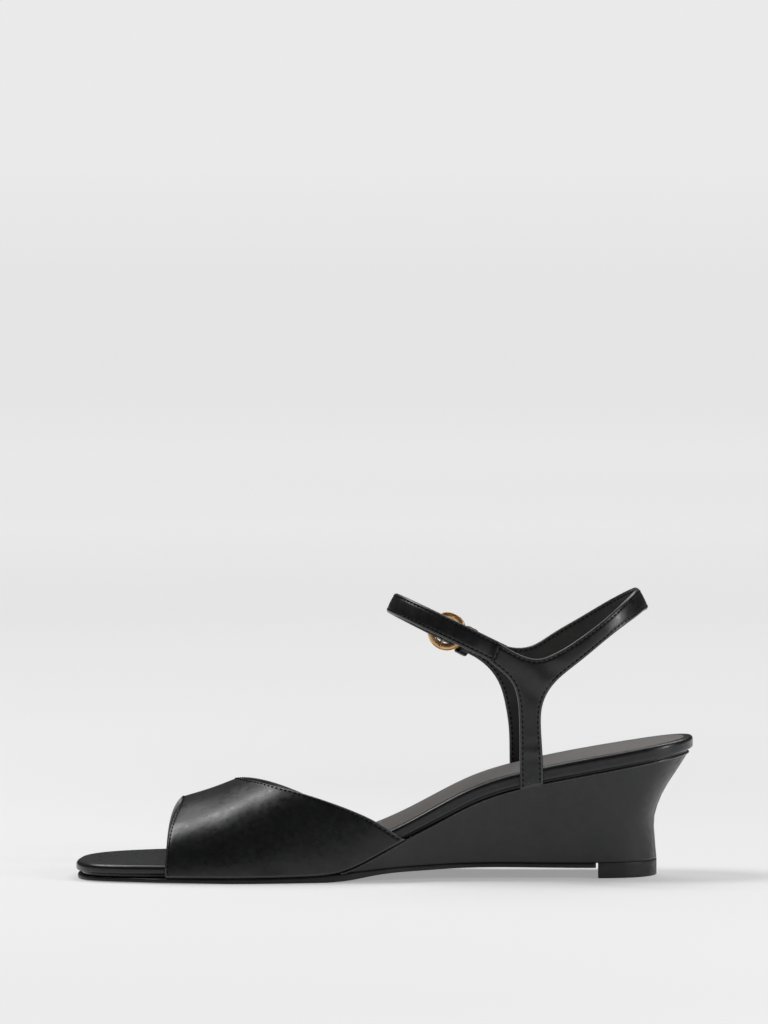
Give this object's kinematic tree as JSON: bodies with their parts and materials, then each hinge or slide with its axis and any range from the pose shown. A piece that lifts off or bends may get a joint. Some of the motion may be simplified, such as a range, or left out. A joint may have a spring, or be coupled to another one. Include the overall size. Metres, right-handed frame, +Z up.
{
  "type": "wedge sandal",
  "caption": "Open-toe wedge sandal for a right foot: wide vamp, padded footbed, leather wedge, and a Y-shaped ankle collar closed by a strap with a round ring buckle.",
  "frame": {"origin": "on the ground, below the middle of the sandal's outside box", "axes": "+X towards the heel, +Y towards the outer side with the buckle, +Z up"},
  "size_m": [0.2404, 0.0877, 0.111],
  "materials": {
    "black_leather": "smooth black leather, low gloss",
    "lining_leather": "smooth black lining leather",
    "sock_fabric": "taupe grey microfibre",
    "sole_rubber": "black moulded rubber",
    "wedge_foam": "light expanded plastic",
    "fibre_board": "pressed fibre board",
    "filler": "cork and felt filler",
    "tape": "woven nylon tape",
    "steel": "plain steel",
    "gold_metal": "aged gold plating"
  },
  "bodies": {
    "sole": {"outsole": "sole_rubber", "heel_top_lift": "sole_rubber", "top_lift_pins": "steel", "wedge_core": "wedge_foam", "wedge_cover": "black_leather", "shank": "steel", "shank_rivets": "steel", "heel_nails": "steel", "bottom_filler": "filler", "insole_board": "fibre_board", "footbed_foam": "wedge_foam", "footbed_wrap": "black_leather", "sock_lining": "sock_fabric", "vamp_outer": "black_leather", "vamp_tape": "tape", "vamp_lining": "lining_leather", "leg_anchor_medial": "black_leather", "leg_anchor_lateral": "black_leather"},
    "ankle_collar": {"collar_outer": "black_leather", "collar_tape": "tape", "collar_lining": "lining_leather", "front_strap_outer": "black_leather", "front_strap_tape": "tape", "front_strap_lining": "lining_leather", "buckle_fold": "black_leather"},
    "keeper": {"keeper_loop": "black_leather"},
    "buckle_ring": {"buckle_ring": "gold_metal"},
    "buckle_prong": {"buckle_prong": "gold_metal"}
  },
  "joints": [
    {"name": "collar_flex", "type": "hinge", "parent": "sole", "child": "ankle_collar", "pos_m": [0.057, -0.0286, 0.0475], "axis": [-0.0603, 0.9982, 0], "range_deg": [-15, 12], "stiffness_Nm_per_rad": 0.4},
    {"name": "buckle_ring_hinge", "type": "hinge", "parent": "ankle_collar", "child": "buckle_ring", "pos_m": [0.0245, 0.02321, 0.0928], "axis": [-0.4403, -0.0929, -0.893], "range_deg": [0, 25]},
    {"name": "buckle_prong_hinge", "type": "hinge", "parent": "buckle_ring", "child": "buckle_prong", "pos_m": [0.0245, 0.02321, 0.0928], "axis": [-0.4403, -0.0929, -0.893], "range_deg": [0, 35]},
    {"name": "keeper_slide", "type": "slide", "parent": "ankle_collar", "child": "keeper", "axis": [-0.8336, -0.3274, 0.445], "range_m": [-0.0015, 0.002]}
  ]
}
